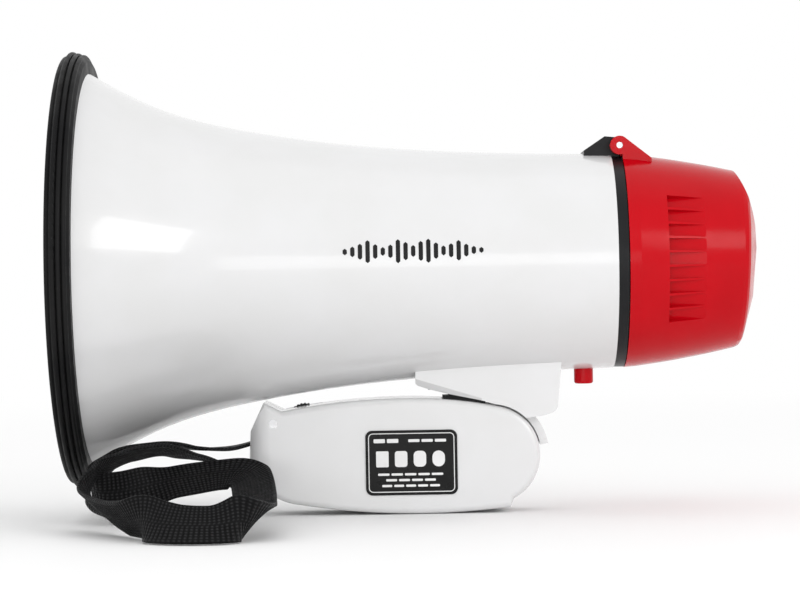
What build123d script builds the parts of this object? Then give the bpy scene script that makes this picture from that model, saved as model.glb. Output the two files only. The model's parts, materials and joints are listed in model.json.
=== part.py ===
from build123d import *
import math
import os

os.makedirs("parts", exist_ok=True)

# Handheld megaphone with a folding grip and a hinged rear cap.
# Lengths are in millimetres. Every part is drawn with x measured back from the front of the
# rim, y to the right of the horn and z from the axis of the horn. PLACE then stands the
# megaphone on its folded grip, with its length centred on the origin.
LENGTH = 244.3
AXIS_Z = 88.0
PLACE = Pos(-LENGTH / 2, 0, AXIS_Z)

GAP = 0.3

# Horn
HORN_WALL = 2.2
HORN_CURVE = [(2.5, 73.4), (8.0, 69.9), (34.0, 56.4), (66.0, 48.0), (103.0, 42.6), (150.0, 39.3)]
HORN_END = 192.8
HORN_END_RADIUS = 38.1

# Rubber rim
RIM_END = 8.4
RIM_LIP_RADIUS = 69.8
RIM_BEAD = 0.9
RIM_BEADS = [(0.9, 75.2), (2.75, 76.6), (4.7, 76.1), (6.6, 75.5)]

# Tone tube and the bowl behind it
TUBE_FRONT = 38.0
TUBE_FRONT_RADIUS = 14.0
TUBE_WALL = 1.8
THROAT_RADIUS = 7.5
BOWL_BACK = 96.0

# Compression driver
DRIVER_RADIUS = 36.0
MAGNET_RADIUS = 30.0
DRIVER_SCREW_CIRCLE = 33.2

# Amplifier and battery tray
BOARD_X = 144.0
BOARD_THICK = 1.6
BOARD_RADIUS = 33.0
TRAY_X = 150.0
TRAY_PLATE = 2.0
TRAY_END = 190.0
TRAY_TUBE_RADIUS = 14.6
TRAY_BORE = 13.4
CELL_RADIUS = 13.1
CELL_LENGTH = 50.0
CELL_X = 155.0
CELL_OFFSET = 13.6
TRAY_BOSS_RADIUS = 3.2
TRAY_BOSS_OFFSET = 30.5

# Rear bezel and the hinge of the cap
BEZEL_END = 196.4
BEZEL_RADIUS = 37.8
BEZEL_BORE = 34.0
HINGE_X = 195.7
HINGE_Z = 40.6
KNUCKLE_RADIUS = 3.1
KNUCKLE_HALF = 8.8
LUG_OUTER = 13.0
LUG_RADIUS = 3.3
HINGE_PIN_RADIUS = 1.1
PIN_RECESS = 0.6

# Rear cap
CAP_FRONT = BEZEL_END + GAP
CAP_WALL = 3.6
CAP_DOME_RADIUS = 89.0
CAP_DOME_RISE = 3.0
FACET_CENTER_Z = 18.8
FACET_SETBACK = 3.7
FACET_SLOPE = 0.34
CARRIER_RADIUS = 32.4
CAP_EDGE_RADIUS = 3.0
FLUTE_COUNT = 9
FLUTE_PITCH = 4.95
FLUTE_RIDGE = 0.8
FLUTE_FLOOR = 34.2
FLUTE_FRONT = 210.4
FLUTE_BACK = 228.0
FLUTE_CIRCLE = 36.0

# Latch button
LATCH_X = 182.4
CATCH_FRONT = 187.0
LATCH_RADIUS = 3.4
LATCH_TIP_Z = -43.6
LATCH_STEM_RADIUS = 2.0
LATCH_STEM_TOP = -23.4
LATCH_NOSE_TOP = -31.0
LATCH_GUIDE_Z = -25.0

# Grip and its pivot
PIVOT = (148.4, -67.7)
PIVOT_PIN_RADIUS = 2.5
GRIP_HALF = 15.0
GRIP_WALL = 2.0
GRIP_END_RADIUS = 17.4
BUTT_RADIUS = 8.0
SADDLE_RADIUS = 17.9
TONGUE_HALF = 5.0
TONGUE_EYE = 6.0
TONGUE_START = 12.0
TONGUE_END = 85.0
TRIGGER_HALF = 7.8
TRIGGER_SWEEP = 27.3
STRAP_PIN = (71.95, -55.5)
STRAP_PIN_RADIUS = 1.65
WHEEL_CENTER = (82.4, -55.6)
WHEEL_RADIUS = 6.4

# Wrist strap, drawn as a plain round cord of the same section area as the webbing
STRAP_RADIUS = 2.3


# ---------------------------------------------------------------- plain shapes

def rod(x0, x1, radius, y=0.0, z=0.0):
    """Cylinder along x."""
    return Pos((x0 + x1) / 2, y, z) * Rot(0, 90, 0) * Cylinder(radius, abs(x1 - x0))


def cross_rod(x, z, radius, y0, y1):
    """Cylinder along y."""
    return Pos(x, (y0 + y1) / 2, z) * Rot(90, 0, 0) * Cylinder(radius, abs(y1 - y0))


def post(x, y, radius, z0, z1):
    """Cylinder along z."""
    return Pos(x, y, (z0 + z1) / 2) * Cylinder(radius, abs(z1 - z0))


def block(x0, x1, y0, y1, z0, z1):
    """Box between two corners."""
    return Pos((x0 + x1) / 2, (y0 + y1) / 2, (z0 + z1) / 2) * Box(abs(x1 - x0), abs(y1 - y0), abs(z1 - z0))


def outline(points):
    """Closed polygon in the side view."""
    return Plane.XZ * make_face(Polyline(*points, close=True))


def slab(face, y0, y1):
    """Side view face made solid from y0 up to y1."""
    return Pos(0, y1, 0) * extrude(face, y1 - y0)


def turned(face):
    """Side view face turned round the axis of the horn."""
    return revolve(face, axis=Axis.X)


def dome_arc(apex, edge):
    """Arc from the edge of a dome to its apex on the axis, round a centre on the axis."""
    depth = edge[0] - apex
    radius = (depth ** 2 + edge[1] ** 2) / (2 * depth)
    half_angle = math.asin(edge[1] / radius) / 2
    middle = (apex + radius - radius * math.cos(half_angle), radius * math.sin(half_angle))
    return ThreePointArc(edge, middle, (apex, 0))


def ring_sector(center, inner, outer, start, end):
    """Side view face between two radii and two angles."""
    far = CenterArc(center, outer, start, end - start)
    near = CenterArc(center, inner, start, end - start)
    return Plane.XZ * make_face([far, near, Line(near @ 0, far @ 0), Line(near @ 1, far @ 1)])


def screw(length, shank, head, head_height):
    """Cross-headed screw, head up from z = 0 and shank down from it."""
    body = Pos(0, 0, head_height / 2) * Cylinder(head, head_height)
    body += Pos(0, 0, -length / 2) * Cylinder(shank, length)
    for turn in (0, 90):
        body -= Rot(0, 0, turn) * Pos(0, 0, head_height) * Box(head * 1.2, head * 0.28, head_height)
    return body


def coil(x, y, z0, z1, radius, wire, turns):
    """Upright coil spring between two heights."""
    height = z1 - z0 - 2 * wire
    path = Helix(pitch=height / turns, height=height, radius=radius)
    section = Plane(path @ 0, z_dir=path % 0) * Circle(wire)
    return Pos(x, y, z0 + wire) * sweep(section, path=path, is_frenet=True)


def group(solids):
    """Several separate solids kept in one node."""
    return Compound(children=[solid for item in solids for solid in item.solids()])


# ---------------------------------------------------------------- horn

def moved_in(points, wall):
    """Points of a curve moved square to it towards the axis."""
    moved = []
    for index, (x, radius) in enumerate(points):
        before = points[max(index - 1, 0)]
        after = points[min(index + 1, len(points) - 1)]
        slope = math.atan2(after[1] - before[1], after[0] - before[0])
        moved.append((x + wall * math.sin(slope), radius - wall * math.cos(slope)))
    return moved


def horn_core():
    """Everything inside the outer surface of the horn."""
    points = HORN_CURVE + [(HORN_END, HORN_END_RADIUS)]
    first = points[0]
    skin = Spline(*points)
    edges = [
        skin,
        Line(points[-1], (HORN_END, 0)),
        Line((HORN_END, 0), (first[0], 0)),
        Line((first[0], 0), first),
    ]
    return turned(Plane.XZ * make_face(edges))


def horn_shell():
    """Bell and body in one moulding, with the hole for the latch button."""
    outer = HORN_CURVE + [(HORN_END, HORN_END_RADIUS)]
    inner = moved_in(HORN_CURVE, HORN_WALL) + [(HORN_END, HORN_END_RADIUS - HORN_WALL)]
    edges = [
        Spline(*outer),
        Line(outer[-1], inner[-1]),
        Spline(*inner),
        Line(inner[0], outer[0]),
    ]
    shell = turned(Plane.XZ * make_face(edges))
    shell -= post(LATCH_X, 0, LATCH_RADIUS + 0.1, -45, -30)
    return shell


def rim_ring(shell):
    """Rubber rim with rounded beads, folded over the edge of the bell."""
    section = outline([
        (0, RIM_LIP_RADIUS), (0, 75.4), (0.9, 76.0), (7.4, 75.2), (RIM_END, 74.0),
        (RIM_END, 68.6), (5.0, 70.3), (5.0, 68.2),
    ])
    ring = turned(section)
    for x, radius in RIM_BEADS:
        ring += turned(Plane.XZ * Pos(x, radius) * Circle(RIM_BEAD))
    return ring - shell


def tone_profile():
    """Half section of the tone tube and of the bowl that closes the horn behind it."""
    front = (TUBE_FRONT, TUBE_FRONT_RADIUS)
    outer_front = (TUBE_FRONT, TUBE_FRONT_RADIUS + TUBE_WALL)
    foot = (84.0, THROAT_RADIUS + 3.0)
    bowl_edge = (83.0, 44.0)
    return make_face([
        Line(front, outer_front),
        Line(outer_front, foot),
        ThreePointArc(foot, (92.0, 27.0), bowl_edge),
        Line(bowl_edge, (88.0, 43.4)),
        Line((88.0, 43.4), (BOWL_BACK, 38.0)),
        Line((BOWL_BACK, 38.0), (BOWL_BACK, THROAT_RADIUS)),
        Line((BOWL_BACK, THROAT_RADIUS), front),
    ])


def throat_horn(shell):
    """Tone tube with its bowl."""
    return turned(Plane.XZ * tone_profile()) - shell


def reflector_cup(throat):
    """Cup over the tone tube, held on it by a hub and three ribs."""
    nose = (22.0, 0)
    shoulder = (33.0, 36.4)
    corner = (39.0, 37.8)
    section = make_face([
        dome_arc(nose[0], shoulder),
        ThreePointArc(shoulder, (35.4, 37.9), corner),
        Line(corner, (72.0, 31.0)),
        Line((72.0, 31.0), (72.0, 29.2)),
        Line((72.0, 29.2), (39.4, 35.9)),
        Line((39.4, 35.9), (34.8, 34.8)),
        dome_arc(23.8, (34.8, 34.8)),
        Line((23.8, 0), nose),
    ])
    cup = turned(Plane.XZ * section)
    cup += rod(46, 54, 17.5)
    for turn in (90, 210, 330):
        cup += Rot(turn, 0, 0) * block(46, 54, -1.0, 1.0, 12, 34)
    return cup - throat - rod(24, 56, TUBE_FRONT_RADIUS - 0.5)


# ---------------------------------------------------------------- driver

def driver_flange():
    """Front ring of the driver with its flaring throat."""
    section = outline([
        (BOWL_BACK, THROAT_RADIUS), (BOWL_BACK, DRIVER_RADIUS), (104, DRIVER_RADIUS),
        (104, MAGNET_RADIUS + 0.2), (100, MAGNET_RADIUS + 0.2), (100, 18), (98.5, 9),
    ])
    return turned(section)


def phase_plug(flange):
    """Cone in the throat on three legs."""
    plug = turned(outline([(96.4, 0), (96.4, 1.5), (99.4, 8.0), (100.2, 8.0), (100.2, 0)]))
    for turn in (0, 120, 240):
        plug += Rot(turn, 0, 0) * block(98.4, 99.6, -0.8, 0.8, 4, 20)
    return plug - flange


def diaphragm():
    """Domed diaphragm with its flat rim."""
    section = make_face([
        Line((104.0, MAGNET_RADIUS), (104.0, 15.0)),
        dome_arc(100.6, (104.0, 15.0)),
        Line((100.6, 0), (101.1, 0)),
        dome_arc(101.1, (104.5, 14.6)),
        Line((104.5, 14.6), (104.5, MAGNET_RADIUS)),
        Line((104.5, MAGNET_RADIUS), (104.0, MAGNET_RADIUS)),
    ])
    return turned(Plane.XZ * section)


def tube(x0, x1, outer, inner):
    """Plain ring along x."""
    return rod(x0, x1, outer) - rod(x0 - 1, x1 + 1, inner)


def yoke():
    """Back plate and pole of the magnet."""
    return rod(122, 126, MAGNET_RADIUS) + rod(105.2, 122, 14.2)


def driver_screws():
    """Four screws through the driver ring into the bowl."""
    screws = []
    for turn in (45, 135, 225, 315):
        spot = Rot(turn, 0, 0) * Pos(104, 0, DRIVER_SCREW_CIRCLE) * Rot(0, 90, 0)
        screws.append(spot * screw(13, 1.4, 2.6, 1.8))
    return group(screws)


# ---------------------------------------------------------------- amplifier and battery tray

def amp_board():
    """Round circuit board with two flats."""
    board = rod(BOARD_X, BOARD_X + BOARD_THICK, BOARD_RADIUS)
    return board & block(BOARD_X - 1, BOARD_X + 5, -BOARD_RADIUS, BOARD_RADIUS, -28, 28)


def capacitors():
    """Three electrolytic capacitors on the front of the board."""
    cans = [
        rod(129.5, BOARD_X, 6.3, -13, -9),
        rod(129.5, BOARD_X, 6.3, 1, -15),
        rod(133.0, BOARD_X, 4.0, 14, -10),
    ]
    return group(cans)


def heat_sink():
    """Finned block for the amplifier chip."""
    sink = block(141, BOARD_X, -20, 20, 6, 22)
    for index in range(9):
        y = -19 + index * 4.75
        sink += block(130, 141, y - 0.8, y + 0.8, 6, 22)
    return sink


def board_standoffs():
    """Three posts that carry the board on the tray."""
    posts = []
    for turn in (60, 180, 300):
        posts.append(Rot(turn, 0, 0) * rod(BOARD_X + BOARD_THICK, TRAY_X, 2.5, 0, 25))
    return group(posts)


def cell_places():
    """Centres of the four cells across the tray."""
    return [(y, z) for y in (-CELL_OFFSET, CELL_OFFSET) for z in (-CELL_OFFSET, CELL_OFFSET)]


def battery_tray():
    """Four joined tubes on a front plate, with screw bosses and the guide of the latch."""
    tray = rod(TRAY_X, TRAY_X + TRAY_PLATE, 36.8)
    for y, z in cell_places():
        tray += rod(TRAY_X, TRAY_END, TRAY_TUBE_RADIUS, y, z)
    for turn in (0, 90, 270):
        tray += Rot(turn, 0, 0) * rod(166, HORN_END, TRAY_BOSS_RADIUS, 0, TRAY_BOSS_OFFSET)
        tray += Rot(turn, 0, 0) * block(166, TRAY_END, -1.2, 1.2, 16, TRAY_BOSS_OFFSET)
    tray += block(LATCH_X - 3.8, LATCH_X + 3.5, -5.5, 5.5, LATCH_GUIDE_Z, -17)
    for y, z in cell_places():
        tray -= rod(TRAY_X + TRAY_PLATE, TRAY_END + 5, TRAY_BORE, y, z)
    tray -= post(LATCH_X, 0, LATCH_STEM_RADIUS + 0.1, LATCH_GUIDE_Z - 1, -20.6)
    return tray


def tray_contacts():
    """Spring contact behind each cell, on a small plate."""
    contacts = []
    for y, z in cell_places():
        spring = coil(0, 0, 0, CELL_X - TRAY_X - TRAY_PLATE - 0.5, 5.0, 0.4, 2)
        plate = rod(TRAY_X + TRAY_PLATE, TRAY_X + TRAY_PLATE + 0.5, 7.0, y, z)
        contacts.append(plate)
        contacts.append(Pos(TRAY_X + TRAY_PLATE + 0.5, y, z) * Rot(0, 90, 0) * spring)
    return group(contacts)


def battery_cell(y, z):
    """C cell with its terminal button at the rear."""
    cell = rod(CELL_X, CELL_X + CELL_LENGTH - 1.5, CELL_RADIUS, y, z)
    cell = fillet(cell.edges(), 0.8)
    return cell + rod(CELL_X + CELL_LENGTH - 1.6, CELL_X + CELL_LENGTH, 3.0, y, z)


# ---------------------------------------------------------------- bezel and hinge

def rear_bezel(core):
    """Ring behind the horn with three screw tabs and the hinge bracket on top."""
    ring = tube(HORN_END, BEZEL_END, BEZEL_RADIUS, BEZEL_BORE)
    for turn in (0, 90, 270):
        ring += Rot(turn, 0, 0) * block(HORN_END, 195.0, -3.2, 3.2, 27.3, 34.6)
    bracket = slab(outline([
        (183.3, 34), (183.3, 39.1), (190.7, 44.0), (193.9, 43.7), (HINGE_X, HINGE_Z + KNUCKLE_RADIUS),
        (HINGE_X, 36.6), (BEZEL_END, 36.6), (BEZEL_END, 34.6), (HORN_END, 34.6), (HORN_END, 34),
    ]), -KNUCKLE_HALF, KNUCKLE_HALF)
    bracket += cross_rod(HINGE_X, HINGE_Z, KNUCKLE_RADIUS, -KNUCKLE_HALF, KNUCKLE_HALF)
    bezel = ring + (bracket - core)
    return bezel - cross_rod(HINGE_X, HINGE_Z, HINGE_PIN_RADIUS, -20, 20)


def bezel_screws():
    """Three screws through the tabs into the tray."""
    screws = []
    for turn in (0, 90, 270):
        spot = Rot(turn, 0, 0) * Pos(195.0, 0, TRAY_BOSS_OFFSET) * Rot(0, 90, 0)
        screws.append(spot * screw(12, 1.25, 2.3, 1.3))
    return group(screws)


def hinge_pin():
    """Pin of the cap hinge."""
    half = LUG_OUTER - PIN_RECESS
    return cross_rod(HINGE_X, HINGE_Z, HINGE_PIN_RADIUS, -half, half)


# ---------------------------------------------------------------- rear cap

def cap_body(inset):
    """Solid of the cap moved in by the given wall: side, domed end and sloping facet."""
    crease = (200.7, 37.7 - inset)
    back = (236.0, 31.6 - inset)
    past = (246.0, 29.4 - inset)
    section = make_face([
        Line((CAP_FRONT, 0), (CAP_FRONT, 38.0 - inset)),
        Line((CAP_FRONT, 38.0 - inset), crease),
        ThreePointArc(crease, (218.5, 35.1 - inset), back),
        Line(back, past),
        Line(past, (246.0, 0)),
        Line((246.0, 0), (CAP_FRONT, 0)),
    ])
    body = turned(Plane.XZ * section)
    dome = Pos(LENGTH - CAP_DOME_RADIUS, 0, CAP_DOME_RISE) * Sphere(CAP_DOME_RADIUS - inset)
    body = body & dome
    rim_edges = [edge for edge in body.edges() if edge.center().X > 225]
    if inset < 0.1:
        body = fillet(rim_edges, CAP_EDGE_RADIUS)
    facet = facet_plane(-inset)
    body -= Plane(facet.origin, x_dir=(0, 1, 0), z_dir=facet.z_dir) * Pos(0, 0, 20) * Box(120, 120, 40)
    return body


def facet_plane(depth):
    """Plane of the sloping facet in the end of the cap, moved out along its normal by depth."""
    length = math.hypot(1.0, FACET_SLOPE)
    normal = Vector(1.0 / length, 0, FACET_SLOPE / length)
    base = Vector(LENGTH - FACET_SETBACK, 0, FACET_CENTER_Z) + normal * depth
    return Plane(origin=base, x_dir=(0, 1, 0), z_dir=normal)


def cap_flutes():
    """Flat-floored pockets that roughen both sides of the cap for the fingers."""
    pockets = []
    half = (FLUTE_COUNT - 1) / 2
    for index in range(FLUTE_COUNT):
        height = (index - half) * FLUTE_PITCH
        angle = math.degrees(math.asin(height / FLUTE_CIRCLE))
        width = (FLUTE_PITCH - FLUTE_RIDGE) / math.cos(math.radians(angle)) / 2
        pocket = block(FLUTE_FRONT, FLUTE_BACK, FLUTE_FLOOR, FLUTE_CIRCLE + 4, -width, width)
        pockets.append(Rot(angle, 0, 0) * pocket)
        pockets.append(Rot(180 - angle, 0, 0) * pocket)
    return pockets


def cap_lug(y0, y1):
    """One hinge lug of the cap."""
    web = slab(outline([
        (198.05, 42.9), (206.9, 35.9), (206.9, 33.8), (CAP_FRONT, 34.8), (CAP_FRONT, 37.9), (195.7, 40.6),
    ]), y0, y1)
    return web + cross_rod(HINGE_X, HINGE_Z, LUG_RADIUS, y0, y1)


def rear_cap():
    """Hinged cap with flutes, hinge lugs, catch tongue, microphone slots and inner posts."""
    cap = cap_body(0.0)
    for pocket in cap_flutes():
        cap -= pocket
    cap += cap_lug(KNUCKLE_HALF + GAP, LUG_OUTER)
    cap += cap_lug(-LUG_OUTER, -KNUCKLE_HALF - GAP)
    hollow = cap_body(CAP_WALL)
    cap -= hollow
    cap -= cross_rod(HINGE_X, HINGE_Z, 3.7, -KNUCKLE_HALF - GAP, KNUCKLE_HALF + GAP)
    cap -= cross_rod(HINGE_X, HINGE_Z, HINGE_PIN_RADIUS + 0.05, -20, 20)
    cap += block(CATCH_FRONT, 206, -4, 4, -32.5, -31.0)
    cap += block(197.2, 206, -4, 4, -35.6, -31.0)
    for y in (-24, 24):
        cap += rod(209, 240, 3.2, y, 0) & cap_body(1.0)
    mic = facet_plane(-CAP_WALL)
    cap += mic * Pos(0, 0, -3.0) * (Cylinder(8.6, 6.4) - Cylinder(7.4, 6.4))
    for index in range(5):
        offset = (index - 2) * 2.6
        cap -= facet_plane(0) * Pos(0, offset, 0) * cap_slot(12.5 - abs(offset) * 0.7, 1.3)
    return cap


def cap_slot(length, width):
    """Round-ended slot cut through the wall of the cap."""
    return Pos(0, 0, -6) * extrude(SlotOverall(length, width), 12)


def contact_carrier():
    """Round plate that carries the contacts in the cap."""
    plate = rod(207.5, 209, CARRIER_RADIUS)
    return plate


def cap_contacts():
    """Two strips that each join a pair of cells, with a raised dome over each cell."""
    strips = []
    for y in (-CELL_OFFSET, CELL_OFFSET):
        strip = block(206.7, 207.5, y - 4.5, y + 4.5, -18.5, 18.5)
        for z in (-CELL_OFFSET, CELL_OFFSET):
            strip += rod(CELL_X + CELL_LENGTH + GAP, 206.7, 3.0, y, z)
        strips.append(strip)
    return group(strips)


def cap_screws():
    """Two screws that hold the contact plate to the posts of the cap."""
    screws = []
    for y in (-24, 24):
        screws.append(Pos(207.5, y, 0) * Rot(0, -90, 0) * screw(8, 1.25, 2.3, 1.2))
    return group(screws)


def mic_capsule():
    """Microphone capsule."""
    return facet_plane(-CAP_WALL) * Pos(0, 0, -6.3) * Cylinder(4.85, 4.6)


def mic_boot():
    """Rubber boot round the microphone."""
    boot = facet_plane(-CAP_WALL) * Pos(0, 0, -6.1) * Cylinder(7.2, 7.8)
    return boot - facet_plane(-CAP_WALL) * Pos(0, 0, -5.1) * Cylinder(4.85, 7.0)


def mic_foam():
    """Foam disc between the microphone and the slots."""
    return facet_plane(-CAP_WALL) * Pos(0, 0, -1.1) * Cylinder(7.2, 1.9)


# ---------------------------------------------------------------- latch

def latch_button():
    """Push button with a flange inside the horn, a nose behind the tongue and a guide stem."""
    head = post(LATCH_X, 0, LATCH_RADIUS, LATCH_TIP_Z, -35.4)
    head = fillet(head.edges().sort_by(Axis.Z)[0], 0.9)
    head += post(LATCH_X, 0, LATCH_RADIUS + 0.8, -35.4, -34.0)
    head += block(LATCH_X - 3, LATCH_X + 3.7, -2.5, 2.5, -34.0, LATCH_NOSE_TOP)
    head += post(LATCH_X, 0, LATCH_STEM_RADIUS, LATCH_NOSE_TOP, LATCH_STEM_TOP)
    return head


def latch_spring():
    """Coil spring round the stem of the button."""
    return coil(LATCH_X, 0, LATCH_NOSE_TOP, LATCH_GUIDE_Z, 2.8, 0.3, 5)


# ---------------------------------------------------------------- saddle under the horn

def at_angle(center, radius, angle):
    """Point at a radius and an angle round a centre in the side view."""
    turn = math.radians(angle)
    return (center[0] + radius * math.cos(turn), center[1] + radius * math.sin(turn))


def saddle_face():
    """Side view of the bracket, open upwards into the horn."""
    arc_start = at_angle(PIVOT, SADDLE_RADIUS, TONGUE_END)
    arc_mid = at_angle(PIVOT, SADDLE_RADIUS, 65)
    arc_end = at_angle(PIVOT, SADDLE_RADIUS, 45)
    front = Polyline(
        (174.3, -30), (122.3, -30), (122.3, -42.3), (123.0, -43.0), (126.2, -44.1), (131.6, -45.6),
        (146.3, -48.7), arc_start,
    )
    back = Polyline(arc_end, (168.0, -54.0), (169.8, -53.4))
    corner = ThreePointArc((169.8, -53.4), (171.4, -52.5), (172.3, -50.9))
    rise = Line((172.3, -50.9), (174.3, -30))
    return Plane.XZ * make_face([front, ThreePointArc(arc_start, arc_mid, arc_end), back, corner, rise])


def saddle_bevel(side):
    """Bevel along the lower front edge of the bracket, on one side."""
    start = Vector(123.6, side * GRIP_HALF, -40.9)
    end = Vector(142.8, side * GRIP_HALF, -46.9)
    along = (end - start).normalized()
    down = Vector(along.Z, 0, -along.X)
    outward = (down + Vector(0, side, 0)).normalized()
    return Plane(origin=start, x_dir=along, z_dir=outward) * Pos(8, 0, 5) * Box(30, 30, 10)


def handle_saddle(core, screws):
    """Bracket under the horn: cowl, trigger recess, tongue with the pivot eye, and stop plate."""
    saddle = slab(saddle_face(), -GRIP_HALF, GRIP_HALF)
    for side in (-1, 1):
        saddle -= saddle_bevel(side)
    saddle -= core
    recess = cross_rod(PIVOT[0], PIVOT[1], TRIGGER_SWEEP, -TRIGGER_HALF - 0.6, TRIGGER_HALF + 0.6)
    saddle -= recess & block(110, 149.3, -20, 20, -60, -30)
    pocket = block(152, 171, -12.5, 12.5, -52, -30)
    saddle -= pocket - cross_rod(PIVOT[0], PIVOT[1], SADDLE_RADIUS + 2.4, -20, 20)
    for y in (-8, 8):
        saddle += post(164, y, 3.2, -52.5, -34) - core
    web_face = ring_sector(PIVOT, 1.0, SADDLE_RADIUS + 1.0, TONGUE_START, TONGUE_END)
    web = slab(web_face, -TONGUE_HALF, TONGUE_HALF)
    web += cross_rod(PIVOT[0], PIVOT[1], TONGUE_EYE, -TONGUE_HALF, TONGUE_HALF)
    stop = slab(ring_sector(PIVOT, SADDLE_RADIUS, SADDLE_RADIUS + 2.8, 10, 52), -11, 11)
    saddle += web + stop
    saddle -= cross_rod(PIVOT[0], PIVOT[1], PIVOT_PIN_RADIUS, -20, 20)
    return saddle - screws


def saddle_screws():
    """Four screws from inside the horn into the bracket."""
    screws = []
    for x, y, seat in ((128, 9, -37.2), (164, 8, -35.5)):
        for side in (-1, 1):
            screws.append(Pos(x, side * y, seat) * screw(7.4, 1.3, 2.4, 1.6))
    return group(screws)


def pivot_pin():
    """Pin of the grip."""
    return cross_rod(PIVOT[0], PIVOT[1], PIVOT_PIN_RADIUS, -12.6, 12.6)


# ---------------------------------------------------------------- grip

def grip_face():
    """Side view of the folded grip: butt at the left, round end on the pivot at the right."""
    arc_start = at_angle(PIVOT, GRIP_END_RADIUS, 80)
    arc_mid = at_angle(PIVOT, GRIP_END_RADIUS, 0)
    arc_end = at_angle(PIVOT, GRIP_END_RADIUS, -63)
    top = (118.0, -47.3)
    low = (124.2, -AXIS_Z)
    edges = [
        Polyline((63.0, -71.0), (63.8, -58.2), (68.6, -48.2), (75.0, -51.3)),
        TangentArc(top, (75.0, -51.3), tangent=(-1, 0)),
        TangentArc(top, arc_start, tangent=(1, 0)),
        ThreePointArc(arc_start, arc_mid, arc_end),
        Line(arc_end, (155.1, -86.2)),
        TangentArc(low, (155.1, -86.2), tangent=(1, 0)),
        TangentArc(low, (81.0, -84.3), tangent=(-1, 0)),
        ThreePointArc((81.0, -84.3), (70.3, -80.2), (63.0, -71.0)),
    ]
    return make_face(edges)


def grip_inner_face():
    """Side view of the hollow of the grip, one wall inside the outline."""
    radius = GRIP_END_RADIUS - GRIP_WALL
    arc_start = at_angle(PIVOT, radius, 80)
    arc_mid = at_angle(PIVOT, radius, 0)
    arc_end = at_angle(PIVOT, radius, -63)
    top = (118.0, -47.3 - GRIP_WALL)
    low = (124.2, -AXIS_Z + GRIP_WALL)
    edges = [
        Polyline((65.1, -70.6), (65.9, -59.0), (68.9, -51.8), (75.5, -53.4)),
        TangentArc(top, (75.5, -53.4), tangent=(-1, 0)),
        TangentArc(top, arc_start, tangent=(1, 0)),
        ThreePointArc(arc_start, arc_mid, arc_end),
        Line(arc_end, (153.5, -84.3)),
        TangentArc(low, (153.5, -84.3), tangent=(1, 0)),
        TangentArc(low, (81.0, -82.3), tangent=(-1, 0)),
        ThreePointArc((81.0, -82.3), (71.9, -78.8), (65.1, -70.6)),
    ]
    return make_face(edges)


def butt_corners(inset):
    """What the plan rounding of the butt takes off, for a surface moved in by the inset."""
    center_x = 63.0 + BUTT_RADIUS
    center_y = GRIP_HALF - BUTT_RADIUS
    corners = block(50, center_x, center_y, 40, -100, -40)
    corners -= post(center_x, center_y, BUTT_RADIUS - inset, -101, -39)
    return corners + mirror(corners, about=Plane.XZ)


def tongue_clearance():
    """Room in the grip for the tongue of the bracket, over the whole swing."""
    half = TONGUE_HALF + 0.4
    room = cross_rod(PIVOT[0], PIVOT[1], TONGUE_EYE + 0.5, -half, half)
    room += slab(ring_sector(PIVOT, 1.0, SADDLE_RADIUS + 4, -68, 95), -half, half)
    return room


def trigger_slot():
    """Opening in the grip for the trigger."""
    return block(131.9 - GAP, 147.0 + GAP, -TRIGGER_HALF - GAP, TRIGGER_HALF + GAP, -58, -40)


def grip_body():
    """Both halves of the grip in one, hollow, with bosses, ribs and openings."""
    face = Plane.XZ * grip_face()
    solid = slab(face, -GRIP_HALF, GRIP_HALF)
    side_edges = []
    for edge in solid.edges():
        middle = edge.center()
        if abs(abs(middle.Y) - GRIP_HALF) < 0.01:
            side_edges.append(edge)
    solid = fillet(side_edges, 2.0)
    solid -= butt_corners(0)
    cavity = slab(Plane.XZ * grip_inner_face(), -GRIP_HALF + GRIP_WALL, GRIP_HALF - GRIP_WALL)
    cavity -= butt_corners(GRIP_WALL)
    bosses = cross_rod(PIVOT[0], PIVOT[1], 5.2, -14, 14)
    bosses += cross_rod(STRAP_PIN[0], STRAP_PIN[1], 2.6, -14, -9)
    bosses += cross_rod(STRAP_PIN[0], STRAP_PIN[1], 2.6, 9, 14)
    for x, z in grip_screw_places():
        bosses += cross_rod(x, z, 3.2, -14, 14)
    bosses += block(139.5, 144.5, -14, 14, -63.2, -62.0)
    bosses += block(128, 131, -14, -3.4, -68, -59)
    bosses += block(134, 137, -14, -3.4, -68, -59)
    body = solid - cavity + bosses
    for opening in grip_openings():
        body -= opening
    return body


def grip_openings():
    """Everything that passes through the walls and bosses of the grip."""
    return [
        tongue_clearance(),
        trigger_slot(),
        block(60, 68, -8.2, 8.2, -72, -59.2),
        cross_rod(PIVOT[0], PIVOT[1], PIVOT_PIN_RADIUS + 0.06, -13, 13),
        cross_rod(STRAP_PIN[0], STRAP_PIN[1], STRAP_PIN_RADIUS, -20, 20),
        block(WHEEL_CENTER[0] - 6.6, WHEEL_CENTER[0] + 6.6, 8.2, 12.3, -54, -40),
        block(*mode_window()),
    ]


def mode_window():
    """Window for the mode knob in the right half."""
    return (93.0, 103.6, 10, 20, -68.2, -63.8)


def grip_screw_places():
    """Places of the screws that join the halves of the grip."""
    return [(98.0, -54.5), (86.0, -78.0), (122.0, -81.0)]


def grip_half(body, side, screws):
    """Left half for side -1, right half for side 1."""
    if side < 0:
        half = body & block(40, 200, -30, 0, -120, 0)
    else:
        half = body & block(40, 200, 0, 30, -120, 0)
    return half - screws


def grip_screws():
    """Three screws from the right side."""
    screws = []
    for x, z in grip_screw_places():
        screws.append(Pos(x, 13.0, z) * Rot(-90, 0, 0) * screw(19, 1.3, 2.5, 1.4))
    return group(screws)


def grip_screw_wells():
    """Round wells that let the heads in."""
    wells = []
    for x, z in grip_screw_places():
        wells.append(cross_rod(x, z, 2.8, 13.0, 20))
    return wells


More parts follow.
